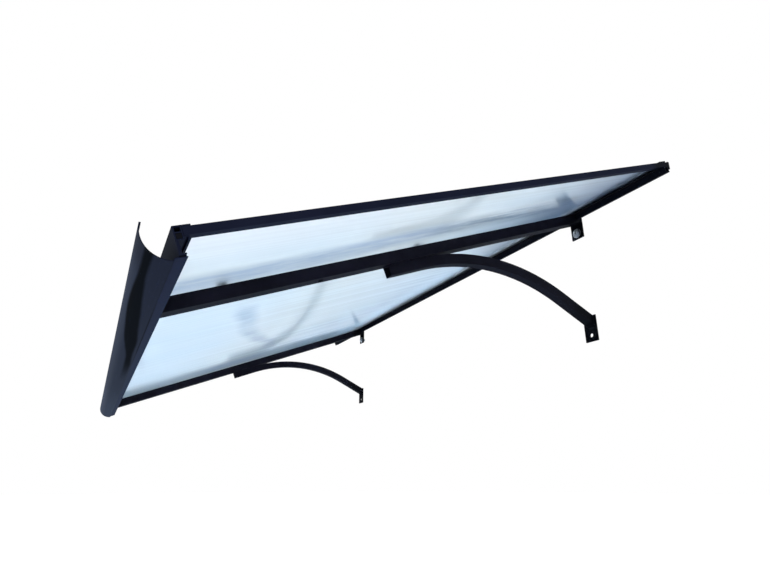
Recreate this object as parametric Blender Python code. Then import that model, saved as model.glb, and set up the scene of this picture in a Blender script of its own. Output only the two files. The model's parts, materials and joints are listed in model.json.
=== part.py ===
"""Polycarbonate door canopy: a cellular sheet on two welded brackets, with rails and a gutter.

Axes: X runs along the wall, +Y points into the wall, +Z is up. The wall face is the plane y = 0.
Inside the roof plane, v runs down the slope from the wall and w is square to the sheet,
with w = 0 on the sheet's underside. Lengths are in metres.
"""

import math

import bmesh
import bpy
from mathutils import Vector

# Overall size
WIDTH = 1.600
SLOPE_LENGTH = 0.938
PITCH = math.radians(22.1)
GAP = 0.0003
MILLIMETRE = 0.001

# Cellular sheet
SHEET_THICKNESS = 0.006
SHEET_SKIN = 0.0006
SHEET_RIB = 0.0006
CELL_PITCH = 0.0062

# Edge channels on the two sides of the sheet
CHANNEL_WALL = 0.0015
CHANNEL_GRIP = 0.0107

# Seals closing the cells at the front and the rear of the sheet
SEAL_WALL = 0.0015

# Front rail
RAIL_WALL = 0.0015
FRONT_RAIL_DEPTH = 0.0183
FRONT_CHAMBER_DEPTH = 0.0091
FRONT_PORT_HEIGHT = 0.0052
DRIP_DROP = 0.0024
LEG_THICKNESS = 0.003
LOWER_LIP_SETBACK = 0.004
FOOT_DEPTH = 0.0072
PLUG_LENGTH = 0.008

# Rear rail
REAR_RAIL_SETBACK = 0.013
REAR_CHAMBER_DEPTH = 0.012
REAR_CHAMBER_DROP = 0.0121
REAR_LIP_DEPTH = 0.020

# Rafters
RAFTER_INSET = 0.237
RAFTER_WIDTH = 0.030
RAFTER_HEIGHT = 0.020
TUBE_WALL = 0.0015
BEDDING_TAPE = 0.0005

# Curved arms
ARM_SIZE = 0.020
ARM_HEAD = 0.5545
ARM_BEND_START = 0.480
ARM_RADIUS = 0.434
ARM_DROP = math.radians(25.0)
ARM_STEPS = 18

# Wall plates
PLATE_WIDTH = 0.032
PLATE_HEIGHT = 0.0565
PLATE_THICKNESS = 0.003
PLATE_HOLE = 0.009
PLATE_HOLE_RISE = 0.0135
UPPER_PLATE_DROP = 0.002

# Gutter
GUTTER_SHEET = 0.001
GUTTER_SETBACK = 0.003
GUTTER_FLANGE = 0.013
GUTTER_FLANGE_START = 0.0082
GUTTER_CREASE_RUN = 0.0015
GUTTER_CREASE_DROP = 0.0022
GUTTER_RADIUS = 0.0308
GUTTER_BACK_ANGLE = math.radians(8.3)
GUTTER_LIP = 0.003
GUTTER_HEM = 0.0025
GUTTER_STEPS = 14
GUTTER_TAPE = 0.0005

# Wall seal
WALL_SEAL_TOP = 0.005
WALL_SEAL_BOTTOM = -0.0105
WALL_SEAL_THICKNESS = 0.0047
WALL_SEAL_FOOT_TOP = 0.002
WALL_SEAL_FOOT_BOTTOM = -0.008

# Wall bolts and their washers
BOLT_DIAMETER = 0.008
BOLT_LENGTH = 0.016
BOLT_CHAMFER = 0.001
BOLT_HEAD_DIAMETER = 0.015
BOLT_HEAD_HEIGHT = 0.0042
BOLT_HEAD_RIM = 0.0013
BOLT_HEAD_SHOULDER = 0.0031
BOLT_SHOULDER_DIAMETER = 0.0129
BOLT_CROWN_DIAMETER = 0.0093
BOLT_SOCKET_FLATS = 0.005
BOLT_SOCKET_DEPTH = 0.0024
WALL_WASHER_DIAMETER = 0.022
WALL_WASHER_THICKNESS = 0.0016

# Roof screws with sealing washers
SCREW_ROWS = 3
SCREW_END_DISTANCE = 0.091
SCREW_DIAMETER = 0.0055
SCREW_LENGTH = 0.022
SCREW_TIP = 0.0055
SCREW_TIP_DIAMETER = 0.0011
SCREW_HEAD_FLATS = 0.008
SCREW_HEAD_HEIGHT = 0.0045
SCREW_FLANGE_DIAMETER = 0.0105
SCREW_FLANGE_HEIGHT = 0.001
SEALING_WASHER_DIAMETER = 0.016
SEALING_WASHER_THICKNESS = 0.0028
SEALING_WASHER_RIM = 0.0016
SEALING_WASHER_CROWN = 0.0112
HOLE_CLEARANCE = 0.0006

# Modelling
CUTTER_MARGIN = 0.002
WELD_DISTANCE = 0.00001
SHARP_ANGLE = math.radians(30)
ROUND_STEPS = 24

# Levels in the roof plane, from the sheet outwards
CHANNEL_BOTTOM = -GAP - CHANNEL_WALL
CHANNEL_TOP = SHEET_THICKNESS + GAP + CHANNEL_WALL
POCKET_BOTTOM = CHANNEL_BOTTOM - GAP
POCKET_TOP = CHANNEL_TOP + GAP
RAIL_TOP = POCKET_TOP + RAIL_WALL
LIP_BOTTOM = POCKET_BOTTOM - RAIL_WALL
DRIP_BOTTOM = LIP_BOTTOM - DRIP_DROP
RAFTER_TOP = -BEDDING_TAPE - 2 * GAP
RAFTER_BOTTOM = RAFTER_TOP - RAFTER_HEIGHT
REAR_CHAMBER_BOTTOM = POCKET_BOTTOM - REAR_CHAMBER_DROP
FLANGE_TOP = RAFTER_BOTTOM - GUTTER_TAPE - 2 * GAP

# Places down the slope
FRONT_CHAMBER_BACK = SLOPE_LENGTH - FRONT_CHAMBER_DEPTH
FRONT_MOUTH = SLOPE_LENGTH - FRONT_RAIL_DEPTH
REAR_WEB = REAR_RAIL_SETBACK + RAIL_WALL
REAR_CHAMBER_FRONT = REAR_RAIL_SETBACK + REAR_CHAMBER_DEPTH
REAR_MOUTH = REAR_RAIL_SETBACK + REAR_LIP_DEPTH
CHANNEL_REAR = REAR_WEB + GAP
CHANNEL_FRONT = FRONT_CHAMBER_BACK - GAP
SHEET_REAR = CHANNEL_REAR + SEAL_WALL + GAP
SHEET_FRONT = CHANNEL_FRONT - SEAL_WALL - GAP
RAFTER_FRONT = FRONT_CHAMBER_BACK - GAP
WALL_FACE_OF_TUBES = -PLATE_THICKNESS - GAP
RAFTER_OFFSET = WIDTH / 2 - RAFTER_INSET
SIDES = (("left", -1), ("right", 1))


def roof_point(v, w):
    """World (y, z) of a place in the roof plane."""
    y = -v * math.cos(PITCH) - w * math.sin(PITCH)
    z = -v * math.sin(PITCH) + w * math.cos(PITCH)
    return y, z


def in_roof_plane(y, z):
    """Roof plane (v, w) of a world (y, z); the reverse of roof_point."""
    v = -y * math.cos(PITCH) - z * math.sin(PITCH)
    w = -y * math.sin(PITCH) + z * math.cos(PITCH)
    return v, w


def v_at_wall_face(w):
    """Distance down the slope where a line at height w meets the front of the wall plates."""
    return (-WALL_FACE_OF_TUBES - w * math.sin(PITCH)) / math.cos(PITCH)


def clear_scene():
    for item in list(bpy.data.objects):
        bpy.data.objects.remove(item, do_unlink=True)


def make_material(name, colour, roughness, metallic):
    found = bpy.data.materials.new(name)
    found.use_nodes = True
    shader = found.node_tree.nodes["Principled BSDF"]
    shader.inputs["Base Color"].default_value = (*colour, 1.0)
    shader.inputs["Roughness"].default_value = roughness
    shader.inputs["Metallic"].default_value = metallic
    found.diffuse_color = (*colour, 1.0)
    return found


def shade(mesh):
    """Smooth shading on curved faces, with the real edges left sharp."""
    mesh.shade_smooth()
    mesh.set_sharp_from_angle(angle=SHARP_ANGLE)


def add_object(name, mesh, finish, parent=None):
    """Link a mesh as a named piece with its own material."""
    shade(mesh)
    piece = bpy.data.objects.new(name, mesh)
    colour, roughness, metallic = finish
    mesh.materials.append(make_material(name + "_finish", colour, roughness, metallic))
    bpy.context.scene.collection.objects.link(piece)
    piece.parent = parent
    return piece


def rectangle(left, bottom, right, top):
    return [(left, bottom), (right, bottom), (right, top), (left, top)]


def arc(centre, radius, start, end, steps):
    angles = [start + (end - start) * i / steps for i in range(steps + 1)]
    return [(centre[0] + radius * math.cos(a), centre[1] + radius * math.sin(a)) for a in angles]


def circle(centre, radius, steps=ROUND_STEPS):
    return arc(centre, radius, 0.0, 2 * math.pi, steps)[:-1]


def outline_prism(name, loops, start, end, place):
    """Solid between two stations of a filled outline; inner loops are openings.

    place(a, b, run) turns an outline point and a run into a position. The outline is filled
    in millimetres, because the fill takes points closer than 0.03 units for one.
    """
    outline = bpy.data.curves.new(name + "_outline", "CURVE")
    outline.dimensions = "2D"
    outline.fill_mode = "BOTH"
    outline.extrude = abs(end - start) / 2 / MILLIMETRE
    for loop in loops:
        spline = outline.splines.new("POLY")
        spline.points.add(len(loop) - 1)
        spline.use_cyclic_u = True
        for point, (a, b) in zip(spline.points, loop):
            point.co = (a / MILLIMETRE, b / MILLIMETRE, 0.0, 1.0)
    carrier = bpy.data.objects.new(name + "_outline", outline)
    bpy.context.scene.collection.objects.link(carrier)
    evaluated = carrier.evaluated_get(bpy.context.evaluated_depsgraph_get())
    mesh = bpy.data.meshes.new_from_object(evaluated)
    bpy.data.objects.remove(carrier, do_unlink=True)
    bpy.data.curves.remove(outline)
    middle = (start + end) / 2
    for vertex in mesh.vertices:
        a, b, run = vertex.co * MILLIMETRE
        vertex.co = place(a, b, middle + run)
    mesh.materials.clear()
    return tidy(name, mesh)


def tidy(name, mesh):
    """Weld the mesh into one closed skin with its normals outwards."""
    work = bmesh.new()
    work.from_mesh(mesh)
    bmesh.ops.remove_doubles(work, verts=work.verts, dist=WELD_DISTANCE)
    bmesh.ops.recalc_face_normals(work, faces=work.faces)
    work.to_mesh(mesh)
    work.free()
    mesh.name = name
    return mesh


def skin_rings(name, rings, closed=False):
    """Solid through a row of rings with equal counts; closed rows run back to the first ring."""
    work = bmesh.new()
    rows = [[work.verts.new(point) for point in ring] for ring in rings]
    count = len(rows[0])
    pairs = list(zip(rows, rows[1:]))
    if closed:
        pairs.append((rows[-1], rows[0]))
    else:
        work.faces.new(rows[0])
        work.faces.new(rows[-1])
    for low, high in pairs:
        for i in range(count):
            j = (i + 1) % count
            work.faces.new((low[i], low[j], high[j], high[i]))
    bmesh.ops.recalc_face_normals(work, faces=work.faces)
    mesh = bpy.data.meshes.new(name)
    work.to_mesh(mesh)
    work.free()
    return mesh


def round_ring(radius, height, steps=ROUND_STEPS):
    return [Vector((x, y, height)) for x, y in circle((0.0, 0.0), radius, steps)]


def hexagon_ring(flats, height, steps=ROUND_STEPS):
    """Points evenly turned about the axis on a hexagon with the given width across flats."""
    ring = []
    for i in range(steps):
        turn = 2 * math.pi * i / steps
        off_flat = (turn + math.pi / 6) % (math.pi / 3) - math.pi / 6
        reach = flats / 2 / math.cos(off_flat)
        ring.append(Vector((reach * math.cos(turn), reach * math.sin(turn), height)))
    return ring


def across(v, w, x):
    """Outline drawn in (v, w) and run along the wall."""
    return Vector((x, -v, w))


def downslope(x, w, v):
    """Outline drawn in (x, w) and run down the slope."""
    return Vector((x, -v, w))


def in_sheet_plane(x, v, w):
    """Outline drawn in (x, v) and run square to the sheet."""
    return Vector((x, -v, w))


def on_wall(x, z, y):
    """Outline drawn on the wall and run away from it."""
    return Vector((x, y, z))


def cut_away(piece, name, cutter_meshes):
    """Take the cutters out of a piece with Boolean modifiers that stay on it."""
    for number, mesh in enumerate(cutter_meshes, 1):
        shade(mesh)
        cutter = bpy.data.objects.new(f"{name}_{number}", mesh)
        bpy.context.scene.collection.objects.link(cutter)
        cutter.parent = piece.parent
        cutter.hide_render = True
        cutter.display_type = "WIRE"
        difference = piece.modifiers.new(cutter.name, "BOOLEAN")
        difference.operation = "DIFFERENCE"
        difference.object = cutter


# Finishes: colour, roughness, metallic
POLYCARBONATE = ((0.62, 0.76, 0.90), 0.12, 0.0)
POWDER_COAT = ((0.014, 0.014, 0.026), 0.42, 0.0)
GUTTER_PAINT = ((0.030, 0.038, 0.058), 0.30, 0.0)
RUBBER = ((0.012, 0.012, 0.013), 0.75, 0.0)
ZINC = ((0.42, 0.44, 0.47), 0.38, 1.0)


def cut_for_rafters(piece, rear, front, bottom, top):
    """Notch a piece where the rafters run through its underside, open at both ends."""
    half = RAFTER_WIDTH / 2 + GAP
    notches = []
    for side, sign in SIDES:
        centre = sign * RAFTER_OFFSET
        loop = rectangle(centre - half, bottom - CUTTER_MARGIN, centre + half, top)
        name = f"{piece.name}_notch_{side}"
        ends = (rear - CUTTER_MARGIN, front + CUTTER_MARGIN)
        notches.append(outline_prism(name, [loop], *ends, downslope))
    cut_away(piece, f"{piece.name}_notch", notches)


def screw_stations():
    """Distances down the slope where the roof screws go through the sheet."""
    first = SHEET_REAR + SCREW_END_DISTANCE
    last = SHEET_FRONT - SCREW_END_DISTANCE
    return [first + (last - first) * i / (SCREW_ROWS - 1) for i in range(SCREW_ROWS)]


def screw_hole_cutter(name, x, v, radius, bottom, top):
    loop = circle((x, v), radius)
    return outline_prism(name, [loop], bottom, top, in_sheet_plane)


def cell_stops(half):
    """Places along X where the sheet's ribs start and end, from one side to the other."""
    inner = 2 * half - SHEET_RIB
    pitch = inner / int(inner / CELL_PITCH)
    stops = []
    for i in range(int(inner / CELL_PITCH) + 1):
        rib = -half + i * pitch
        stops += [rib, rib + SHEET_RIB]
    return stops


def cellular_mesh(name, half, rear, front):
    """Twin-wall sheet: two skins joined by ribs, drawn across the slope and extruded down it."""
    stops = cell_stops(half)
    work = bmesh.new()
    levels = (0.0, SHEET_SKIN, SHEET_THICKNESS - SHEET_SKIN, SHEET_THICKNESS)
    under, low, high, over = [[(x, -rear, level) for x in stops] for level in levels]
    low = [work.verts.new(point) for point in low]
    high = [work.verts.new(point) for point in high]
    work.faces.new([work.verts.new(under[0]), work.verts.new(under[-1])] + low[::-1])
    work.faces.new([work.verts.new(over[0]), work.verts.new(over[-1])] + high[::-1])
    for i in range(0, len(stops), 2):
        work.faces.new((low[i], low[i + 1], high[i + 1], high[i]))
    grown = bmesh.ops.extrude_face_region(work, geom=work.faces[:])["geom"]
    moved = [part for part in grown if isinstance(part, bmesh.types.BMVert)]
    bmesh.ops.translate(work, verts=moved, vec=(0.0, rear - front, 0.0))
    bmesh.ops.recalc_face_normals(work, faces=work.faces)
    mesh = bpy.data.meshes.new(name)
    work.to_mesh(mesh)
    work.free()
    return mesh


def make_sheet(roof):
    half = WIDTH / 2 - CHANNEL_WALL - GAP
    mesh = cellular_mesh("sheet", half, SHEET_REAR, SHEET_FRONT)
    sheet = add_object("sheet", mesh, POLYCARBONATE, roof)
    radius = SCREW_DIAMETER / 2 + HOLE_CLEARANCE
    holes = []
    for side, sign in SIDES:
        for number, v in enumerate(screw_stations(), 1):
            name = f"sheet_hole_{side}_{number}"
            x = sign * RAFTER_OFFSET
            ends = (-CUTTER_MARGIN, SHEET_THICKNESS + CUTTER_MARGIN)
            holes.append(screw_hole_cutter(name, x, v, radius, *ends))
    cut_away(sheet, "sheet_hole", holes)


def channel_outline(sign):
    """U section gripping one side of the sheet, in (x, w)."""
    outer = sign * WIDTH / 2
    web = sign * (WIDTH / 2 - CHANNEL_WALL)
    edge = sign * (WIDTH / 2 - CHANNEL_GRIP)
    return [
        (outer, CHANNEL_BOTTOM),
        (outer, CHANNEL_TOP),
        (edge, CHANNEL_TOP),
        (edge, CHANNEL_TOP - CHANNEL_WALL),
        (web, CHANNEL_TOP - CHANNEL_WALL),
        (web, CHANNEL_BOTTOM + CHANNEL_WALL),
        (edge, CHANNEL_BOTTOM + CHANNEL_WALL),
        (edge, CHANNEL_BOTTOM),
    ]


def make_edge_channels(roof):
    for side, sign in SIDES:
        name = f"edge_channel_{side}"
        mesh = outline_prism(name, [channel_outline(sign)], CHANNEL_REAR, CHANNEL_FRONT, downslope)
        add_object(name, mesh, POWDER_COAT, roof)


def seal_outline(back, mouth):
    """U section closing the cell ends, in (v, w), with its web at back and its legs to mouth."""
    web = back + SEAL_WALL if mouth > back else back - SEAL_WALL
    return [
        (back, CHANNEL_BOTTOM),
        (back, CHANNEL_TOP),
        (mouth, CHANNEL_TOP),
        (mouth, SHEET_THICKNESS + GAP),
        (web, SHEET_THICKNESS + GAP),
        (web, -GAP),
        (mouth, -GAP),
        (mouth, CHANNEL_BOTTOM),
    ]


def make_end_seals(roof):
    half = WIDTH / 2 - CHANNEL_GRIP - GAP
    for name, back, mouth in (
        ("front_sheet_seal", CHANNEL_FRONT, FRONT_MOUTH),
        ("rear_sheet_seal", CHANNEL_REAR, REAR_MOUTH),
    ):
        mesh = outline_prism(name, [seal_outline(back, mouth)], -half, half, across)
        seal = add_object(name, mesh, RUBBER, roof)
        cut_for_rafters(seal, min(back, mouth), max(back, mouth), CHANNEL_BOTTOM, -GAP)


def front_rail_loops():
    """Section of the front rail in (v, w): pocket, chamber with screw port, and gutter leg."""
    back = FRONT_CHAMBER_BACK
    mouth = FRONT_MOUTH
    face = SLOPE_LENGTH
    leg = face - LEG_THICKNESS
    foot = face - FOOT_DEPTH
    lip = mouth + LOWER_LIP_SETBACK
    outer = [
        (face, RAIL_TOP),
        (mouth, RAIL_TOP),
        (mouth, POCKET_TOP),
        (back, POCKET_TOP),
        (back, POCKET_BOTTOM),
        (lip, POCKET_BOTTOM),
        (lip, DRIP_BOTTOM),
        (lip + RAIL_WALL, DRIP_BOTTOM),
        (lip + RAIL_WALL, LIP_BOTTOM),
        (back, LIP_BOTTOM),
        (back, DRIP_BOTTOM),
        (leg, DRIP_BOTTOM),
        (leg, RAFTER_BOTTOM + RAIL_WALL),
        (foot, RAFTER_BOTTOM + RAIL_WALL),
        (foot, RAFTER_BOTTOM),
        (face, RAFTER_BOTTOM),
    ]
    left = back + RAIL_WALL
    right = face - RAIL_WALL
    port = rectangle(left, POCKET_TOP - FRONT_PORT_HEIGHT, right, POCKET_TOP)
    return [outer, port, chamber_rectangle(left, right)]


def chamber_rectangle(left, right, inset=0.0):
    """Lower chamber of the front rail, or what fits in it with an inset."""
    top = POCKET_TOP - FRONT_PORT_HEIGHT - RAIL_WALL
    bottom = DRIP_BOTTOM + RAIL_WALL
    return rectangle(left + inset, bottom + inset, right - inset, top - inset)


def make_front_rail(roof):
    mesh = outline_prism("front_rail", front_rail_loops(), -WIDTH / 2, WIDTH / 2, across)
    rail = add_object("front_rail", mesh, POWDER_COAT, roof)
    notch_front = FRONT_CHAMBER_BACK - CUTTER_MARGIN
    cut_for_rafters(rail, FRONT_MOUTH, notch_front, DRIP_BOTTOM, RAFTER_TOP + GAP)
    left = FRONT_CHAMBER_BACK + RAIL_WALL
    right = SLOPE_LENGTH - RAIL_WALL
    for side, sign in SIDES:
        name = f"front_rail_plug_{side}"
        loop = chamber_rectangle(left, right, GAP)
        ends = (sign * (WIDTH / 2 - PLUG_LENGTH), sign * WIDTH / 2)
        plug = outline_prism(name, [loop], min(ends), max(ends), across)
        add_object(name, plug, RUBBER, roof)


def rear_rail_loops():
    """Section of the rear rail in (v, w): box chamber with the sheet's pocket above it."""
    back = REAR_RAIL_SETBACK
    front = REAR_CHAMBER_FRONT
    outer = [
        (back, REAR_CHAMBER_BOTTOM),
        (front, REAR_CHAMBER_BOTTOM),
        (front, POCKET_BOTTOM),
        (REAR_WEB, POCKET_BOTTOM),
        (REAR_WEB, POCKET_TOP),
        (REAR_MOUTH, POCKET_TOP),
        (REAR_MOUTH, RAIL_TOP),
        (back, RAIL_TOP),
    ]
    inner = rectangle(
        back + RAIL_WALL,
        REAR_CHAMBER_BOTTOM + RAIL_WALL,
        front - RAIL_WALL,
        POCKET_BOTTOM - RAIL_WALL,
    )
    return [outer, inner]


def make_rear_rail(roof):
    mesh = outline_prism("rear_rail", rear_rail_loops(), -WIDTH / 2, WIDTH / 2, across)
    rail = add_object("rear_rail", mesh, POWDER_COAT, roof)
    notch_rear = REAR_RAIL_SETBACK
    cut_for_rafters(rail, notch_rear, REAR_CHAMBER_FRONT, REAR_CHAMBER_BOTTOM, RAFTER_TOP + GAP)


def make_rafters(roof):
    for side, sign in SIDES:
        centre = sign * RAFTER_OFFSET
        half = RAFTER_WIDTH / 2
        outer = rectangle(centre - half, RAFTER_BOTTOM, centre + half, RAFTER_TOP)
        inner = rectangle(
            centre - half + TUBE_WALL,
            RAFTER_BOTTOM + TUBE_WALL,
            centre + half - TUBE_WALL,
            RAFTER_TOP - TUBE_WALL,
        )
        mesh = outline_prism(f"rafter_{side}", [outer, inner], 0.0, RAFTER_FRONT, downslope)
        for vertex in mesh.vertices:
            if vertex.co.y > -RAFTER_FRONT / 2:
                vertex.co.y = -v_at_wall_face(vertex.co.z)
        rafter = add_object(f"rafter_{side}", mesh, POWDER_COAT, roof)
        radius = SCREW_DIAMETER / 2 + GAP
        low = RAFTER_TOP - TUBE_WALL - CUTTER_MARGIN
        high = RAFTER_TOP + CUTTER_MARGIN
        holes = []
        for number, v in enumerate(screw_stations(), 1):
            name = f"rafter_hole_{side}_{number}"
            holes.append(screw_hole_cutter(name, centre, v, radius, low, high))
        cut_away(rafter, f"rafter_hole_{side}", holes)
        make_bedding_tape(roof, side, centre)


def make_bedding_tape(roof, side, centre):
    """Tape between a rafter and the sheet, as long as the sheet."""
    half = RAFTER_WIDTH / 2
    name = f"bedding_tape_{side}"
    radius = SCREW_DIAMETER / 2 + GAP
    loops = [rectangle(centre - half, SHEET_REAR, centre + half, SHEET_FRONT)]
    loops += [circle((centre, v), radius) for v in screw_stations()]
    mesh = outline_prism(name, loops, RAFTER_TOP + GAP, -GAP, in_sheet_plane)
    add_object(name, mesh, RUBBER, roof)


def arm_centreline():
    """Stations of the arm's centreline in (y, z), each with its direction."""
    w = RAFTER_BOTTOM - GAP - ARM_SIZE / 2
    head = Vector(roof_point(ARM_HEAD, w))
    bend = Vector(roof_point(ARM_BEND_START, w))
    turn_centre = bend + ARM_RADIUS * Vector((math.sin(PITCH), -math.cos(PITCH)))
    stations = [(head, PITCH)]
    for i in range(ARM_STEPS + 1):
        heading = PITCH - (PITCH + ARM_DROP) * i / ARM_STEPS
        offset = Vector((-math.sin(heading), math.cos(heading)))
        stations.append((turn_centre + ARM_RADIUS * offset, heading))
    last = stations[-1][0]
    run = (WALL_FACE_OF_TUBES - last.x) / math.cos(ARM_DROP)
    end = last + run * Vector((math.cos(ARM_DROP), -math.sin(ARM_DROP)))
    stations.append((end, -ARM_DROP))
    return stations


def arm_ring(centre, station, half, at_wall):
    """Four corners of a square section; at the wall the section is cut upright."""
    place, heading = station
    ring = []
    for side, level in ((-1, -1), (1, -1), (1, 1), (-1, 1)):
        y = place.x - level * half * math.sin(heading)
        z = place.y + level * half * math.cos(heading)
        if at_wall:
            y = place.x
            z = place.y + level * half / math.cos(heading)
        ring.append(Vector((centre + side * half, y, z)))
    return ring


def make_arms():
    stations = arm_centreline()
    for side, sign in SIDES:
        centre = sign * RAFTER_OFFSET
        name = f"arm_{side}"
        outer = []
        inner = []
        for station in stations:
            at_wall = station is stations[-1]
            outer.append(arm_ring(centre, station, ARM_SIZE / 2, at_wall))
            inner.append(arm_ring(centre, station, ARM_SIZE / 2 - TUBE_WALL, at_wall))
        mesh = skin_rings(name, outer + inner[::-1], closed=True)
        add_object(name, mesh, POWDER_COAT)


def make_wall_plate(name, centre, top):
    """Flat bar plate standing on the wall with one bolt hole; returns the hole's height."""
    half = PLATE_WIDTH / 2
    bottom = top - PLATE_HEIGHT
    hole = bottom + PLATE_HOLE_RISE
    loops = [rectangle(centre - half, bottom, centre + half, top)]
    loops.append(circle((centre, hole), PLATE_HOLE / 2))
    mesh = outline_prism(name, loops, -PLATE_THICKNESS, 0.0, on_wall)
    add_object(name, mesh, POWDER_COAT)
    return hole


def make_wall_plates():
    """Upper plates close the rafters' ends and lower plates close the arms' ends."""
    rafter_end = roof_point(v_at_wall_face(RAFTER_TOP), RAFTER_TOP)[1] - UPPER_PLATE_DROP
    place, heading = arm_centreline()[-1]
    arm_end = place.y + ARM_SIZE / 2 / math.cos(heading)
    for side, sign in SIDES:
        centre = sign * RAFTER_OFFSET
        hole = make_wall_plate(f"upper_wall_plate_{side}", centre, rafter_end)
        make_wall_fixing(side, centre, hole)
        make_wall_plate(f"lower_wall_plate_{side}", centre, arm_end)


def make_wall_fixing(side, x, z):
    """Socket bolt and wide washer in an upper plate."""
    face = PLATE_THICKNESS + GAP
    washer_rings = [
        round_ring(BOLT_DIAMETER / 2 + GAP, face),
        round_ring(WALL_WASHER_DIAMETER / 2, face),
        round_ring(WALL_WASHER_DIAMETER / 2, face + WALL_WASHER_THICKNESS),
        round_ring(BOLT_DIAMETER / 2 + GAP, face + WALL_WASHER_THICKNESS),
    ]
    seat = face + WALL_WASHER_THICKNESS + GAP
    crown = seat + BOLT_HEAD_HEIGHT
    head = BOLT_HEAD_DIAMETER / 2
    bolt_rings = [
        round_ring(BOLT_DIAMETER / 2 - BOLT_CHAMFER, seat - BOLT_LENGTH),
        round_ring(BOLT_DIAMETER / 2, seat - BOLT_LENGTH + BOLT_CHAMFER),
        round_ring(BOLT_DIAMETER / 2, seat),
        round_ring(head, seat),
        round_ring(head, seat + BOLT_HEAD_RIM),
        round_ring(BOLT_SHOULDER_DIAMETER / 2, seat + BOLT_HEAD_SHOULDER),
        round_ring(BOLT_CROWN_DIAMETER / 2, crown),
        hexagon_ring(BOLT_SOCKET_FLATS, crown),
        hexagon_ring(BOLT_SOCKET_FLATS, crown - BOLT_SOCKET_DEPTH),
    ]
    for name, rings, closed in (
        (f"wall_washer_{side}", washer_rings, True),
        (f"wall_bolt_{side}", bolt_rings, False),
    ):
        piece = add_object(name, skin_rings(name, rings, closed), ZINC)
        piece.location = (x, 0.0, z)
        piece.rotation_euler = (math.pi / 2, 0.0, 0.0)


def make_roof_screws(roof):
    """Hexagon screws with sealing washers along both rafters."""
    washer_top = GAP + SEALING_WASHER_THICKNESS
    bore = SCREW_DIAMETER / 2 + GAP
    rim = SEALING_WASHER_DIAMETER / 2
    washer_rings = [
        round_ring(bore, GAP),
        round_ring(rim, GAP),
        round_ring(rim, GAP + SEALING_WASHER_RIM),
        round_ring(SEALING_WASHER_CROWN / 2, washer_top),
        round_ring(bore, washer_top),
    ]
    seat = washer_top + GAP
    flange = seat + SCREW_FLANGE_HEIGHT
    tip = seat - SCREW_LENGTH
    shank = SCREW_DIAMETER / 2
    screw_rings = [
        round_ring(SCREW_TIP_DIAMETER / 2, tip),
        round_ring(shank, tip + SCREW_TIP),
        round_ring(shank, seat),
        round_ring(SCREW_FLANGE_DIAMETER / 2, seat),
        round_ring(SCREW_FLANGE_DIAMETER / 2, flange),
        hexagon_ring(SCREW_HEAD_FLATS, flange),
        hexagon_ring(SCREW_HEAD_FLATS, seat + SCREW_HEAD_HEIGHT),
    ]
    for side, sign in SIDES:
        for number, v in enumerate(screw_stations(), 1):
            for kind, rings, closed in (
                ("sealing_washer", washer_rings, True),
                ("roof_screw", screw_rings, False),
            ):
                name = f"{kind}_{side}_{number}"
                finish = RUBBER if kind == "sealing_washer" else ZINC
                piece = add_object(name, skin_rings(name, rings, closed), finish, roof)
                piece.location = (sign * RAFTER_OFFSET, -v, SHEET_THICKNESS)


def gutter_path():
    """Middle line of the gutter's sheet in (v, w), from the flange to the top of the lip."""
    middle = FLANGE_TOP - GUTTER_SHEET / 2
    flange_rear = SLOPE_LENGTH - GUTTER_FLANGE_START
    flange_front = flange_rear + GUTTER_FLANGE
    start_angle = PITCH - math.pi / 2 - GUTTER_BACK_ANGLE
    start = (flange_front + GUTTER_CREASE_RUN, middle - GUTTER_CREASE_DROP)
    centre = (
        start[0] - GUTTER_RADIUS * math.cos(start_angle),
        start[1] - GUTTER_RADIUS * math.sin(start_angle),
    )
    path = [(flange_rear, middle), (flange_front, middle)]
    path += arc(centre, GUTTER_RADIUS, start_angle, PITCH, GUTTER_STEPS)
    top = path[-1]
    up = (-math.sin(PITCH), math.cos(PITCH))
    path.append((top[0] + GUTTER_LIP * up[0], top[1] + GUTTER_LIP * up[1]))
    return path


def offset_path(path, distance):
    """Path moved sideways, mitred at its corners."""
    points = [Vector(point) for point in path]
    legs = [(after - before).normalized() for before, after in zip(points, points[1:])]
    moved = []
    for point, before, after in zip(points, [legs[0]] + legs, legs + [legs[-1]]):
        mean = (before + after).normalized()
        reach = distance / mean.dot(before)
        moved.append((point.x - reach * mean.y, point.y + reach * mean.x))
    return moved


def gutter_outline():
    """Closed section of the gutter: the bent sheet with a hem folded inwards at the lip."""
    path = gutter_path()
    inner = offset_path(path, GUTTER_SHEET / 2)
    outer = offset_path(path, -GUTTER_SHEET / 2)
    inwards = Vector((-math.cos(PITCH), -math.sin(PITCH)))
    down = Vector((math.sin(PITCH), -math.cos(PITCH)))
    crest = Vector(inner[-1])
    hem_top = crest + GUTTER_SHEET * inwards
    hem_foot = hem_top + GUTTER_HEM * down
    hem_root = crest + GUTTER_HEM * down
    return outer + [tuple(hem_top), tuple(hem_foot), tuple(hem_root)] + inner[-2::-1]


def make_gutter(roof):
    half = WIDTH / 2 - GUTTER_SETBACK
    mesh = outline_prism("gutter", [gutter_outline()], -half, half, across)
    add_object("gutter", mesh, GUTTER_PAINT, roof)
    foot = SLOPE_LENGTH - FOOT_DEPTH
    strip = rectangle(foot, FLANGE_TOP + GAP, SLOPE_LENGTH, RAFTER_BOTTOM - GAP)
    tape = outline_prism("gutter_tape", [strip], -half, half, across)
    add_object("gutter_tape", tape, RUBBER, roof)


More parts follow.
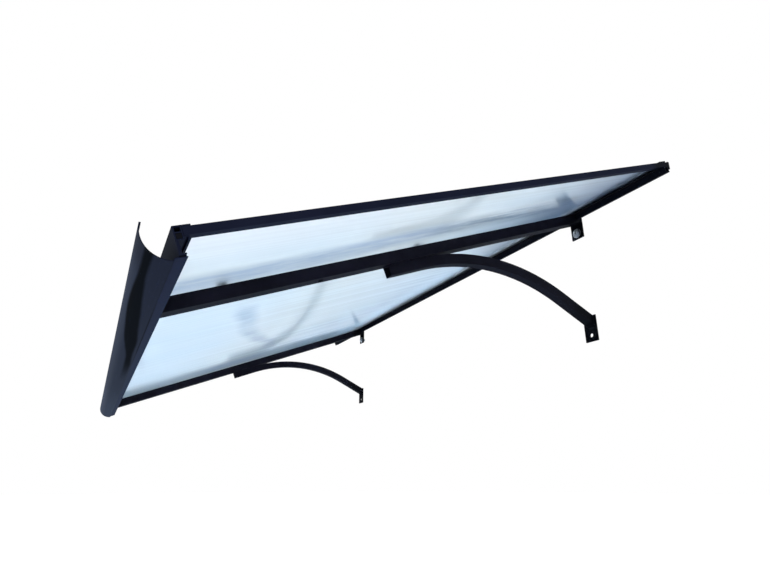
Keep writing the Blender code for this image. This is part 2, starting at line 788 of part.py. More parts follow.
def wall_seal_outline():
    """Section of the wall seal in (v, w): an upright strip with a foot on the rear rail."""
    back = WALL_FACE_OF_TUBES
    front = back - WALL_SEAL_THICKNESS
    rail = REAR_RAIL_SETBACK - GAP
    knee = roof_point(rail, WALL_SEAL_FOOT_TOP)[1] + WALL_SEAL_THICKNESS / 2
    return [
        in_roof_plane(back, WALL_SEAL_BOTTOM),
        in_roof_plane(back, WALL_SEAL_TOP),
        in_roof_plane(front, WALL_SEAL_TOP),
        in_roof_plane(front, knee),
        (rail, WALL_SEAL_FOOT_TOP),
        (rail, WALL_SEAL_FOOT_BOTTOM),
    ]


def make_wall_seals(roof):
    """Three lengths of wall seal, fitted between and beside the rafters."""
    inner = RAFTER_OFFSET - RAFTER_WIDTH / 2 - GAP
    outer = RAFTER_OFFSET + RAFTER_WIDTH / 2 + GAP
    for place, start, end in (
        ("left", -WIDTH / 2, -outer),
        ("middle", -inner, inner),
        ("right", outer, WIDTH / 2),
    ):
        name = f"wall_seal_{place}"
        mesh = outline_prism(name, [wall_seal_outline()], start, end, across)
        add_object(name, mesh, RUBBER, roof)


def build():
    clear_scene()
    roof = bpy.data.objects.new("roof_plane", None)
    roof.rotation_euler = (PITCH, 0.0, 0.0)
    bpy.context.scene.collection.objects.link(roof)
    make_sheet(roof)
    make_edge_channels(roof)
    make_end_seals(roof)
    make_front_rail(roof)
    make_rear_rail(roof)
    make_rafters(roof)
    make_roof_screws(roof)
    make_gutter(roof)
    make_arms()
    make_wall_plates()
    make_wall_seals(roof)


build()
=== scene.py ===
"""Looks of a polycarbonate door canopy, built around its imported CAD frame.

Axes: X runs along the wall, +Y points into the wall and +Z is up. In the roof plane, v runs
down the slope from the wall and w is square to the sheet. Lengths are in metres, and colours
are linear red, green and blue. A named ramp has two numbers, the range over which it runs, or
four, with the values at both ends of the range after it.
"""

import json
import math

import bmesh
import bpy
from mathutils import Matrix, Vector


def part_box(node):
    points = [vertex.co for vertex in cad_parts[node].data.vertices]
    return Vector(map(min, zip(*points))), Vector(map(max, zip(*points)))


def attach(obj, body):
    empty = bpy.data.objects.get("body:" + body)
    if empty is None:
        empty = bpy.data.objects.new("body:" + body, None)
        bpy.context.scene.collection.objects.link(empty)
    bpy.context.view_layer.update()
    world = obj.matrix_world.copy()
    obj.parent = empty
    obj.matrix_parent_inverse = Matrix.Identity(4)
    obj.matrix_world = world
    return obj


PITCH = math.radians(22.1)
SIDES = ("left", "right")

# Welds on the wall plates: levels of their ends and of the run under the tube, and their radii
WELD_RADIUS = 0.0024
UPPER_WELD_LEVELS = (-0.0125, -0.0241)
UPPER_WELD_RADII = (0.0011, 0.0014, 0.0014, 0.0011)
LOWER_WELD_LEVELS = (-0.2480, -0.2682)
LOWER_WELD_RADII = (WELD_RADIUS,) * 4

# Welds between arm and rafter: w of the joint, v of the arm's end and of the stitches beside it
HEAD_JOINT = -0.0213
HEAD_END = 0.5545
HEAD_STITCHES = ((0.4840, 0.5070), (0.5270, 0.5520))
HEAD_INSET = 0.003
HEAD_WELD_RADII = (WELD_RADIUS,) * 2

# Bead: its taper is counted in radii, and the tip is the square of the share left at its ends
WELD_STEP = 0.00055
WELD_SIDES = 10
WELD_RIPPLE = 0.0022
WELD_BODY = 0.88
WELD_SWELL = 0.20
WELD_TAPER = 1.5
WELD_TIP = 0.06

# Plug under each rafter: its profile is given as radius and drop
RAFTER_UNDERSIDE = -0.0211
PLUG_PLACE = 0.683
PLUG_SIDES = 24
PLUG_PROFILE = (
    (0.0040, -0.0010),
    (0.0045, 0.0002),
    (0.0044, 0.0009),
    (0.0034, 0.0016),
    (0.0016, 0.0020),
)

# Rounded edges of the bracket tubes and plates
ROUNDED_NODES = ("rafter", "arm", "upper_wall_plate", "lower_wall_plate")
EDGE_ROUND = 0.0006
EDGE_SEGMENTS = 2
EDGE_ANGLE = math.radians(40)
JOIN_DISTANCE = 0.00001

# Powder coat: its roughness lies between two values, and by the wall a painted shade darkens it along y
NAVY = (0.0082, 0.0106, 0.0255)
NAVY_WORN = (0.0120, 0.0142, 0.0320)
NAVY_GLOSS = 0.09
BLACK = (0.0076, 0.0070, 0.0118)
BLACK_WORN = (0.0105, 0.0098, 0.0165)
BLACK_GLOSS = 0.08
COAT_ROUGHNESS = (0.40, 0.52)
COAT_IOR = 1.5
COAT_WALL_SHADE = (0.0030, 0.0032, 0.0048)
COAT_WALL_SHADE_REACH = (-0.070, -0.036)
COAT_WALL_SHADE_DEPTH = 0.85
DUST = (0.120, 0.125, 0.135)
DUST_DEPTH = 0.30

# Zinc and rubber
ZINC_DARK = (0.22, 0.222, 0.230)
ZINC_BRIGHT = (0.34, 0.342, 0.352)
RUBBER = (0.0050, 0.0050, 0.0065)
RUBBER_BLOOM = (0.0110, 0.0110, 0.0130)

# Gutter: centre (v, w) of its arc and the v of its fold, then its paint, with painted lighter
# reflections towards the far end and on the lip
GUTTER_CENTRE = (0.93695, 0.00501)
GUTTER_FOLD = 0.9436
GUTTER_PEEL = 0.01
GUTTER_PAINT = (0.0098, 0.0120, 0.0265)
GUTTER_WAVE = (0.0140, 0.0165, 0.0325)
GUTTER_FAR_REFLECTION = (0.0270, 0.0320, 0.0530)
GUTTER_FAR_REFLECTION_REACH = (-0.55, 0.0)
GUTTER_LIP_REFLECTION = (0.0125, 0.0160, 0.0420)
GUTTER_LIP_REFLECTION_EDGE = 0.0015

# Painted highlight on the top of the gutter's arc, by the angle on the arc and by x
GUTTER_TOP_HIGHLIGHT = (0.026, 0.034, 0.060)
GUTTER_TOP_HIGHLIGHT_FAR = (0.046, 0.056, 0.088)
GUTTER_TOP_HIGHLIGHT_FAR_REACH = (-0.45, 0.0)
GUTTER_TOP_HIGHLIGHT_ANGLE = (-0.60, -0.10)
GUTTER_TOP_HIGHLIGHT_END = (0.70, 0.775, 1.0, 0.15)

# Painted dark reflection band on the gutter: how its angle on the arc climbs with x, its edge, and
# where it widens
GUTTER_DARK_REFLECTION = (0.0052, 0.0060, 0.0080)
BAND_CLIMB = (0.22, 0.66, -1.02, -0.49)
BAND_EDGE = (0.09, 0.24)
BAND_START = (0.02, 0.28)
BAND_FRAY = 0.14
BAND_WIDENING = 0.19
BAND_WIDE_START = (0.30, 0.46)
BAND_WIDE_END = (0.58, 0.74)

# Painted dark reflection line on the gutter's fold, by the distance from it, by w and by x
FOLD_EDGE = (0.0006, 0.0022)
FOLD_DROP = (-0.020, -0.010)
FOLD_START = (0.20, 0.42)
FOLD_END = (0.55, 0.66, 0.8, 0.15)

# Sheet: its middle plane, and limits just inside its outer faces and above its lower face
SHEET_MIDDLE = 0.003
SHEET_OUTSIDE = 0.0029
SHEET_UNDERSIDE = 0.0001
SHEET_HAZE = 0.85
SHEET_IOR = 1.08
SHEET_CELLS = (0.962, 0.986, 1.0)
SHEET_TONE = (0.865, 0.882, 0.890)
SHEET_STREAKS = (0.785, 0.836, 0.864)
SHEET_CLOUDS = (0.745, 0.827, 0.870)

# Paler outer corner of the sheet, by x and by v
CORNER_TONE = (0.888, 0.882, 0.892)
CORNER_SIDE = (0.62, 0.79)
CORNER_FRONT = (0.35, 0.75)

# Painted dark reflection of the near arm, from its start (x, v) towards the far side and up the slope
ARM_REFLECTION_TONE = (0.43, 0.50, 0.62)
ARM_REFLECTION_START = (0.464, 0.791)
ARM_REFLECTION_SLANT = math.radians(17.5)
ARM_REFLECTION_WOBBLE = 0.05
ARM_REFLECTION_BEND = (0.40, 0.70, 0.0, 0.045)
ARM_REFLECTION_MIDDLE = 0.015
ARM_REFLECTION_EDGE = (0.004, 0.034)
ARM_REFLECTION_PATCHES = (0.38, 0.60, 0.62, 1.0)
ARM_REFLECTION_HEAD = (0.02, 0.15)
ARM_REFLECTION_TAIL = (0.58, 0.95)

# Painted bluish dark reflection beside each rafter: x of its middle at the wall, and its drift down the
# slope
REFLECTION_DRIFT = 0.09
REFLECTION_WOBBLE = 0.03
RIGHT_REFLECTION = 0.702
RIGHT_REFLECTION_EDGE = (0.010, 0.055)
RIGHT_REFLECTION_MOTTLE = (0.38, 0.62, 0.62, 1.0)
RIGHT_REFLECTION_UPPER = (0.14, 0.19, 0.26)
RIGHT_REFLECTION_LOWER = (0.40, 0.49, 0.67)
RIGHT_REFLECTION_CHANGE = (0.38, 0.56)
LEFT_REFLECTION = -0.39
LEFT_REFLECTION_TONE = (0.52, 0.60, 0.76)
LEFT_REFLECTION_EDGE = (0.03, 0.12)
LEFT_REFLECTION_START = (0.40, 0.52, 0.15, 1.0)
LEFT_REFLECTION_END = (0.62, 0.72, 1.0, 0.5)

# Painted blue shade on the upper slope: the v where it starts to fade depends on x
SLOPE_SHADE = (0.52, 0.665, 0.83)
SLOPE_START = (-0.15, 0.10, 0.30, 0.10)
SLOPE_END = 0.60

# Dark shade by the wall: along WALL_SIDE in x, the v where it starts and ends to fade, and its
# depth, go from the first value to the second; a light strip interrupts it along the rail
WALL_TONE = (0.056, 0.090, 0.175)
WALL_SIDE = (0.15, 0.60)
WALL_START = (0.03, 0.08)
WALL_END = (0.10, 0.42)
WALL_DEPTH = (0.80, 1.0)
STRIP_END = (0.045, 0.105)
STRIP_SHADE = (0.45, 0.62, 0.0, 0.72)

# Gloss of the sheet, and what is left of it beside the right rafter, by the rail and on top
GLOSS_STREAKS = (0.3, 0.7, 0.90, 0.60)
GLOSS_BESIDE = 0.25
BESIDE_END = (0.64, 0.69)
GLOSS_BY_RAIL = 0.68
BY_RAIL_START = (0.07, 0.10)
BY_RAIL_END = (0.12, 0.22)
GLOSS_ON_TOP = 0.3

# Soft daylight
WHITE = (1.0, 1.0, 1.0)
GLOSS_WHITE = (0.84, 0.93, 1.0)
AMBIENT = (0.72, 0.76, 0.82)

# Floor: its glow grows with the distance from the canopy
FLOOR_LEVEL = -2.3
FLOOR_RADIUS = 60.0
FLOOR_SIDES = 96
FLOOR_TONE = (0.70, 0.78, 0.86)
FLOOR_SEEN = (0.88, 0.83, 0.77)
FLOOR_MIRRORED = (0.42, 0.66, 0.96)
FLOOR_GLOW = (4.5, 9.0, 0.35, 0.55)

# Key lamp, in front of the canopy and above it
KEY_PLACE = (-1.5, -3.0, 3.0)
KEY_AIM = (0.0, -0.4, -0.2)
KEY_SIDE = 2.0
KEY_POWER = 120.0
KEY_COLOUR = (0.93, 0.97, 1.0)

# Camera, found from the photograph's straight edges
CAMERA_PLACE = (1.29650, -0.90578, -0.57272)
CAMERA_YAW = math.radians(28.5404)
CAMERA_RISE = math.radians(19.8888)
CAMERA_LENS = 24.16
CAMERA_CLIP = (0.01, 200.0)
SENSOR_WIDTH = 36.0

# A ray that slants through the sheet crosses many ribs
LIGHT_BOUNCES = 40


# Node building blocks


class Nodes:
    """Short calls for the nodes of one tree."""

    def __init__(self, tree):
        self.tree = tree

    def add(self, kind, inputs=None, **settings):
        node = self.tree.nodes.new(kind)
        for key, value in settings.items():
            setattr(node, key, value)
        for key, value in (inputs or {}).items():
            self.feed(node.inputs[key], value)
        return node

    def feed(self, socket, value):
        """Link a socket to another node's output, or set it to a constant."""
        if isinstance(value, bpy.types.NodeSocket):
            self.tree.links.new(value, socket)
        elif socket.type == "RGBA":
            socket.default_value = (*value, 1.0)
        else:
            socket.default_value = value

    def math(self, operation, *values):
        node = self.add("ShaderNodeMath", operation=operation)
        for socket, value in zip(node.inputs, values):
            self.feed(socket, value)
        return node.outputs["Value"]

    def times(self, product, *factors):
        """Product of all the values."""
        for factor in factors:
            product = self.math("MULTIPLY", product, factor)
        return product

    def apart(self, value, centre):
        """Distance of a value from a centre."""
        return self.math("ABSOLUTE", self.math("SUBTRACT", value, centre))

    def ramp(self, value, low, high, start=0.0, end=1.0, kind="SMOOTHSTEP"):
        """Value carried from low..high to start..end, held beyond them."""
        node = self.add("ShaderNodeMapRange", interpolation_type=kind)
        for socket, number in zip(node.inputs[:5], (value, low, high, start, end)):
            self.feed(socket, number)
        return node.outputs["Result"]

    def fade(self, value, low, high):
        """One up to low, falling to zero at high."""
        return self.ramp(value, low, high, 1.0, 0.0)

    def between(self, share, start, end):
        """Start where the share is zero, end where it is one."""
        return self.ramp(share, 0.0, 1.0, start, end, "LINEAR")

    def mix(self, share, first, second):
        """First colour where the share is zero, second where it is one."""
        node = self.add("ShaderNodeMix", {0: share, 6: first, 7: second}, data_type="RGBA")
        return node.outputs[2]

    def split(self, vector):
        return self.add("ShaderNodeSeparateXYZ", {"Vector": vector}).outputs


class Shader(Nodes):
    """Node material with its Principled shader."""

    def __init__(self, name):
        self.material = bpy.data.materials.new(name)
        self.material.use_nodes = True
        super().__init__(self.material.node_tree)
        self.surface = self.tree.nodes["Principled BSDF"]
        self.place = self.add("ShaderNodeTexCoord").outputs["Object"]

    def set(self, **inputs):
        """Feed sockets of the Principled shader, named with underscores for spaces."""
        for key, value in inputs.items():
            self.feed(self.surface.inputs[key.replace("_", " ")], value)

    def stretched(self, vector, scale):
        node = self.add("ShaderNodeMapping", {"Vector": vector, "Scale": scale})
        return node.outputs["Vector"]

    def noise(self, vector, scale=1.0, detail=2.0, roughness=0.5):
        inputs = {"Vector": vector, "Scale": scale, "Detail": detail, "Roughness": roughness}
        return self.add("ShaderNodeTexNoise", inputs).outputs["Fac"]

    def facing_up(self):
        """One on faces that look up, zero on upright faces and undersides."""
        normal = self.add("ShaderNodeNewGeometry").outputs["Normal"]
        return self.ramp(self.split(normal)["Z"], low=0.35, high=0.9)

    def bump(self, height, distance, strength):
        inputs = {"Height": height, "Distance": distance, "Strength": strength}
        return self.add("ShaderNodeBump", inputs).outputs["Normal"]

    def glaze(self, weight, roughness):
        """All the gloss comes from a clear coat, so its weight dims it at every angle."""
        self.set(Specular_IOR_Level=0.0)
        self.set(Coat_Weight=weight, Coat_Roughness=roughness, Coat_IOR=COAT_IOR)


class RoofShader(Shader):
    """Shader that also knows its place in the roof plane, as x, v and w."""

    def __init__(self, name):
        super().__init__(name)
        turned = {"Vector": self.place, "Rotation": (-PITCH, 0.0, 0.0)}
        self.roof = self.add("ShaderNodeMapping", turned).outputs["Vector"]
        self.x, minus_v, self.w = self.split(self.roof)
        self.v = self.times(minus_v, -1.0)


# Places on the object


def roof_point(x, v, w):
    """Point of the roof plane in the object's own axes."""
    y = -v * math.cos(PITCH) - w * math.sin(PITCH)
    return Vector((x, y, -v * math.sin(PITCH) + w * math.cos(PITCH)))


def side_faces(node):
    """The x of a node's left and right side."""
    low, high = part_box(node)
    return low[0], high[0]


def middle(node):
    """The x half way between a node's sides."""
    return sum(side_faces(node)) / 2


# Finishes of the metal and rubber


def powder_coat(name, colour, worn, gloss):
    """Dark powder coat: orange peel, uneven sheen, dust where rain leaves it, and painted shade by the
    wall.
    """
    shader = Shader(name)
    peel = shader.noise(shader.place, scale=700.0, detail=1.0)
    cloud = shader.noise(shader.place, scale=9.0, detail=4.0, roughness=0.6)
    speck = shader.noise(shader.place, scale=260.0, detail=3.0, roughness=0.7)
    tone = shader.mix(shader.ramp(cloud, low=0.35, high=0.68), colour, worn)
    # Painted shade: the coat darkens towards the wall along y
    by_wall = shader.ramp(shader.split(shader.place)["Y"], *COAT_WALL_SHADE_REACH)
    tone = shader.mix(shader.times(by_wall, COAT_WALL_SHADE_DEPTH), tone, COAT_WALL_SHADE)
    dust = shader.times(shader.facing_up(), shader.ramp(speck, low=0.42, high=0.75), DUST_DEPTH)
    shader.set(Base_Color=shader.mix(dust, tone, DUST))
    shader.set(Roughness=shader.ramp(cloud, 0.3, 0.7, *COAT_ROUGHNESS))
    shader.set(Normal=shader.bump(peel, distance=0.00006, strength=0.6))
    shader.glaze(gloss, roughness=0.30)
    return shader.material


def zinc_plate(name):
    """Bright zinc with a fine spangle in tone, roughness and relief."""
    shader = Shader(name)
    spangle = shader.noise(shader.place, scale=420.0)
    share = shader.ramp(spangle, low=0.3, high=0.7)
    shader.set(Base_Color=shader.mix(share, ZINC_DARK, ZINC_BRIGHT), Metallic=1.0)
    shader.set(Roughness=shader.ramp(spangle, low=0.3, high=0.7, start=0.32, end=0.48))
    shader.set(Normal=shader.bump(spangle, distance=0.00004, strength=0.5))
    return shader.material


def black_rubber(name):
    """Matt black rubber with a fine grain and a faint grey bloom."""
    shader = Shader(name)
    grain = shader.noise(shader.place, scale=1500.0)
    bloom = shader.noise(shader.place, scale=25.0, detail=3.0)
    shader.set(Base_Color=shader.mix(bloom, RUBBER, RUBBER_BLOOM))
    shader.set(Roughness=shader.ramp(bloom, low=0.3, high=0.7, start=0.62, end=0.80))
    shader.set(Normal=shader.bump(grain, distance=0.00005, strength=0.6))
    shader.glaze(weight=0.05, roughness=0.4)
    return shader.material


# Gutter


def gutter_angle(shader):
    """Angle on the gutter's arc, frayed by a noise drawn out along the gutter."""
    fray = shader.stretched(shader.place, scale=(7.0, 60.0, 60.0))
    fray = shader.noise(fray, detail=3.0, roughness=0.6)
    out = shader.math("SUBTRACT", shader.v, GUTTER_CENTRE[0])
    rise = shader.math("SUBTRACT", shader.w, GUTTER_CENTRE[1])
    return shader.math("ADD", shader.math("ARCTAN2", rise, out), shader.times(fray, BAND_FRAY))


def gutter_band(shader, angle):
    """Share of the painted dark reflection band, which climbs the arc along x, and of the painted dark
    line on the fold.
    """
    offset = shader.apart(angle, shader.ramp(shader.x, *BAND_CLIMB))
    wide = shader.times(shader.ramp(shader.x, *BAND_WIDE_START), shader.fade(shader.x, *BAND_WIDE_END))
    offset = shader.math("SUBTRACT", offset, shader.times(wide, BAND_WIDENING))
    band = shader.times(shader.fade(offset, *BAND_EDGE), shader.ramp(shader.x, *BAND_START))
    fold = shader.fade(shader.apart(shader.v, GUTTER_FOLD), *FOLD_EDGE)
    fold = shader.times(fold, shader.fade(shader.w, *FOLD_DROP))
    crease = shader.times(shader.ramp(shader.x, *FOLD_START), shader.ramp(shader.x, *FOLD_END))
    return shader.math("MAXIMUM", band, shader.times(fold, crease))


def gutter_tone(shader, wave, angle):
    """Blue of the gutter, with painted reflections: paler towards the far end and on its lip, and a
    painted highlight at the top of its arc.
    """
    tone = shader.mix(shader.ramp(wave, low=0.3, high=0.7), GUTTER_PAINT, GUTTER_WAVE)
    # Painted lighter reflection towards the far end, then on the lip
    tone = shader.mix(shader.fade(shader.x, *GUTTER_FAR_REFLECTION_REACH), tone, GUTTER_FAR_REFLECTION)
    lip = shader.fade(shader.v, GUTTER_FOLD - GUTTER_LIP_REFLECTION_EDGE, GUTTER_FOLD)
    tone = shader.mix(lip, tone, GUTTER_LIP_REFLECTION)
    # Painted highlight on the top of the arc, paler towards the far end
    far = shader.fade(shader.x, *GUTTER_TOP_HIGHLIGHT_FAR_REACH)
    top = shader.times(shader.ramp(angle, *GUTTER_TOP_HIGHLIGHT_ANGLE), shader.ramp(shader.x, *GUTTER_TOP_HIGHLIGHT_END))
    return shader.mix(top, tone, shader.mix(far, GUTTER_TOP_HIGHLIGHT, GUTTER_TOP_HIGHLIGHT_FAR))


def gutter_paint(name):
    """Glossy paint on bent sheet, slightly wavy from the press brake, with painted reflections and a
    painted highlight.
    """
    shader = RoofShader(name)
    wave = shader.noise(shader.stretched(shader.place, scale=(0.6, 18.0, 18.0)))
    peel = shader.noise(shader.place, scale=500.0, detail=1.0)
    angle = gutter_angle(shader)
    band = gutter_band(shader, angle)
    # Painted dark reflection: the band and the fold line take a darker colour, and less gloss below
    shader.set(Base_Color=shader.mix(band, gutter_tone(shader, wave, angle), GUTTER_DARK_REFLECTION))
    shader.set(Roughness=shader.ramp(wave, low=0.3, high=0.7, start=0.20, end=0.30))
    height = shader.math("ADD", wave, shader.times(peel, GUTTER_PEEL))
    relief = shader.bump(height, distance=0.0004, strength=0.5)
    shader.set(Normal=relief, Coat_Normal=relief)
    shader.glaze(weight=shader.between(band, start=0.07, end=0.014), roughness=0.15)
    return shader.material


# Polycarbonate sheet


def arm_reflection(shader, cloud):
    """Share of the patchy painted reflection of the near arm across the middle bay, strongest along its
    middle.
    """
    across_x, across_v = math.sin(ARM_REFLECTION_SLANT), math.cos(ARM_REFLECTION_SLANT)
    x_run = shader.math("SUBTRACT", shader.x, ARM_REFLECTION_START[0])
    v_run = shader.math("SUBTRACT", shader.v, ARM_REFLECTION_START[1])
    along = shader.math("ADD", shader.times(x_run, -across_v), shader.times(v_run, -across_x))
    off = shader.math("SUBTRACT", shader.times(v_run, across_v), shader.times(x_run, across_x))
    off = shader.math("ADD", off, shader.times(cloud, ARM_REFLECTION_WOBBLE))
    off = shader.math("ADD", off, shader.ramp(along, *ARM_REFLECTION_BEND))
    core = shader.fade(shader.apart(off, ARM_REFLECTION_MIDDLE), *ARM_REFLECTION_EDGE)
    patches = shader.noise(shader.roof, scale=9.0, detail=3.0, roughness=0.6)
    core = shader.times(core, shader.ramp(patches, *ARM_REFLECTION_PATCHES))
    ends = shader.times(shader.ramp(along, *ARM_REFLECTION_HEAD), shader.fade(along, *ARM_REFLECTION_TAIL))
    return shader.times(core, ends)


def rafter_reflections(shader, cloud, lower_face, tone):
    """Painted bluish dark reflection beside each rafter, drifting towards the far side on its way down
    the slope.
    """
    drift = shader.math("ADD", shader.x, shader.times(shader.v, REFLECTION_DRIFT))
    drift = shader.math("ADD", drift, shader.times(cloud, REFLECTION_WOBBLE))
    right = shader.times(shader.fade(shader.apart(drift, RIGHT_REFLECTION), *RIGHT_REFLECTION_EDGE), lower_face)
    mottle = shader.stretched(shader.roof, scale=(45.0, 9.0, 1.0))
    mottle = shader.noise(mottle, detail=4.0, roughness=0.65)
    right = shader.times(right, shader.ramp(mottle, *RIGHT_REFLECTION_MOTTLE))
    upper = shader.fade(shader.v, *RIGHT_REFLECTION_CHANGE)
    # Painted dark reflection beside the right rafter, darkest by the wall
    tone = shader.mix(right, tone, shader.mix(upper, RIGHT_REFLECTION_LOWER, RIGHT_REFLECTION_UPPER))
    # Painted dark reflection beside the left rafter
    left = shader.times(shader.fade(shader.apart(drift, LEFT_REFLECTION), *LEFT_REFLECTION_EDGE), lower_face)
    run = shader.times(shader.ramp(shader.v, *LEFT_REFLECTION_START), shader.ramp(shader.v, *LEFT_REFLECTION_END))
    return shader.mix(shader.times(left, run), tone, LEFT_REFLECTION_TONE)


def sheet_tone(shader, streaks, lower_face):
    """Tone of the outer faces; the painted reflections of the arm and the rafters and the painted
    shades lie on the lower one.
    """
    cloud = shader.stretched(shader.roof, scale=(5.0, 2.5, 1.0))
    cloud = shader.noise(cloud, detail=3.0)
    tone = shader.mix(shader.ramp(streaks, low=0.35, high=0.7), SHEET_TONE, SHEET_STREAKS)
    tone = shader.mix(shader.ramp(cloud, low=0.4, high=0.7, end=0.5), tone, SHEET_CLOUDS)
    corner = shader.times(shader.ramp(shader.x, *CORNER_SIDE), shader.ramp(shader.v, *CORNER_FRONT))
    tone = shader.mix(corner, tone, CORNER_TONE)
    # Painted dark reflection of the near arm on the lower face
    tone = shader.mix(shader.times(lower_face, arm_reflection(shader, cloud)), tone, ARM_REFLECTION_TONE)
    strip = shader.ramp(shader.v, *STRIP_END, shader.ramp(shader.x, *STRIP_SHADE), 1.0)
    under = shader.times(lower_face, strip)
    # Painted blue shade on the upper slope of the lower face
    slope = shader.fade(shader.v, shader.ramp(shader.x, *SLOPE_START), SLOPE_END)
    tone = shader.mix(shader.times(under, slope), tone, SLOPE_SHADE)
    tone = rafter_reflections(shader, cloud, lower_face, tone)
    start = shader.ramp(shader.x, *WALL_SIDE, *WALL_START)
    end = shader.ramp(shader.x, *WALL_SIDE, *WALL_END)
    depth = shader.ramp(shader.x, *WALL_SIDE, *WALL_DEPTH)
    by_wall = shader.times(shader.fade(shader.v, start, end), depth)
    return shader.mix(shader.times(under, by_wall), tone, WALL_TONE)


def sheet_gloss(shader, streaks, outer_face, lower_face, rafter):
    """Weight of the gloss: none inside the cells, and less in a few zones of the faces."""
    gloss = shader.times(shader.ramp(streaks, *GLOSS_STREAKS), outer_face)
    beyond = shader.math("GREATER_THAN", shader.x, rafter)
    beside = shader.times(beyond, shader.fade(shader.x, *BESIDE_END))
    gloss = shader.times(gloss, shader.between(beside, 1.0, GLOSS_BESIDE))
    by_rail = shader.times(shader.ramp(shader.v, *BY_RAIL_START), shader.fade(shader.v, *BY_RAIL_END))
    gloss = shader.times(gloss, shader.between(by_rail, 1.0, GLOSS_BY_RAIL))
    return shader.times(gloss, shader.between(lower_face, GLOSS_ON_TOP, 1.0))


def polycarbonate(name, rafter):
    """Clear twin-wall sheet with a blue cast: glossy outer faces over a body hazed by its ribs."""
    shader = RoofShader(name)
    outer_face = shader.math("GREATER_THAN", shader.apart(shader.w, SHEET_MIDDLE), SHEET_OUTSIDE)
    lower_face = shader.math("LESS_THAN", shader.w, SHEET_UNDERSIDE)
    streaks = shader.stretched(shader.roof, scale=(120.0, 1.2, 1.0))
    streaks = shader.noise(streaks, detail=3.0, roughness=0.6)
    tone = sheet_tone(shader, streaks, lower_face)
    shader.set(Base_Color=shader.mix(outer_face, SHEET_CELLS, tone))
    shader.set(Roughness=SHEET_HAZE, Transmission_Weight=1.0, IOR=SHEET_IOR)
    ripple = shader.noise(shader.stretched(shader.roof, scale=(160.0, 4.0, 1.0)), detail=1.0)
    shader.set(Coat_Normal=shader.bump(ripple, distance=0.0002, strength=0.5))
    shader.set(Coat_Weight=sheet_gloss(shader, streaks, outer_face, lower_face, rafter))
    shader.set(Coat_Roughness=0.10, Coat_IOR=COAT_IOR)
    return shader.material


def dress_frame():
    """Give each CAD node the finish of its material slot."""
    finishes = {
        "frame_extrusion": powder_coat("navy_powder_coat", NAVY, NAVY_WORN, NAVY_GLOSS),
        "bracket_steel": powder_coat("black_powder_coat", BLACK, BLACK_WORN, BLACK_GLOSS),
        "gutter_sheet": gutter_paint("gutter_paint"),
        "zinc": zinc_plate("zinc_plate"),
        "rubber": black_rubber("black_rubber"),
        "polycarbonate": polycarbonate("polycarbonate", middle("rafter_right")),
    }
    slots = {row["node"]: row["material_slot"] for row in frame["record"]["subparts"]}
    for node, piece in frame["nodes"].items():
        piece.data.materials.clear()
        piece.data.materials.append(finishes[slots[node]])
    return finishes


# Welds, plugs and rounded edges


def add_piece(name, work, finish):
    """Turn a closed mesh into a smooth piece that rides on the fixed body."""
    bmesh.ops.recalc_face_normals(work, faces=work.faces)
    mesh = bpy.data.meshes.new(name)
    work.to_mesh(mesh)
    work.free()
    mesh.polygons.foreach_set("use_smooth", [True] * len(mesh.polygons))
    mesh.materials.append(finish)
    piece = bpy.data.objects.new(name, mesh)
    bpy.context.scene.collection.objects.link(piece)
    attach(piece, "root")


def skin(work, rings):
    """Walls between neighbouring rings, and a flat cap on the first and the last."""
    for ring, onward in zip(rings, rings[1:]):
        for k in range(len(ring)):
            work.faces.new((ring[k], ring[k - 1], onward[k - 1], onward[k]))
    work.faces.new(rings[0])
    work.faces.new(reversed(rings[-1]))


def bead_line(corners, radii):
    """Points along a polyline, each with the bead's radius there."""
    line = []
    for here, there, radius, next_radius in zip(corners, corners[1:], radii, radii[1:]):
        steps = max(2, round((there - here).length / WELD_STEP))
        for step in range(steps):
            share = step / steps
            line.append((here.lerp(there, share), radius + (next_radius - radius) * share))
    line.append((corners[-1], radii[-1]))
    return line


def bead_radius(radius, travelled, total):
    """Radius after the taper towards both ends, and with the ripple of the weld pool."""
    from_end = min(travelled, total - travelled) / (WELD_TAPER * radius)
    taper = math.sqrt(max(WELD_TIP, 1.0 - (1.0 - min(from_end, 1.0)) ** 2))
    ripple = abs(math.sin(math.pi * travelled / WELD_RIPPLE))
    return taper * radius * (WELD_BODY + WELD_SWELL * ripple)


def weld_bead(work, corners, radii):
    """Rippled bead along a polyline, with a radius for each corner."""
    line = bead_line(corners, radii)
    centres = [centre for centre, radius in line]
    total = sum((there - here).length for here, there in zip(centres, centres[1:]))
    rings = []
    travelled = 0.0
    for place, (centre, radius) in enumerate(line):
        before = centres[max(place - 1, 0)]
        after = centres[min(place + 1, len(centres) - 1)]
        ahead = (after - before).normalized()
        travelled += (centre - before).length
        swollen = bead_radius(radius, travelled, total)
        turn = Matrix.Rotation(math.tau / WELD_SIDES, 3, ahead)
        spoke = ahead.orthogonal().normalized()
        ring = []
        for _ in range(WELD_SIDES):
            ring.append(work.verts.new(centre + swollen * spoke))
            spoke = turn @ spoke
        rings.append(ring)
    for ring, onward in zip(rings, rings[1:]):
        twist = min(range(WELD_SIDES), key=lambda k: (onward[k].co - ring[0].co).length)
        onward[:] = onward[twist:] + onward[:twist]
    skin(work, rings)


def make_wall_weld(joint, tube, side, levels, radii, finish):
    """Bead down both sides of a tube's end and across under it, on the face of its wall plate."""
    left, right = side_faces(f"{tube}_{side}")
    plate_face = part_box(f"{joint}_wall_plate_{side}")[0][1]
    top, foot = levels
    places = ((left, top), (left, foot), (right, foot), (right, top))
    work = bmesh.new()
    weld_bead(work, [Vector((x, plate_face, z)) for x, z in places], radii)
    add_piece(f"weld_{joint}_{side}", work, finish)


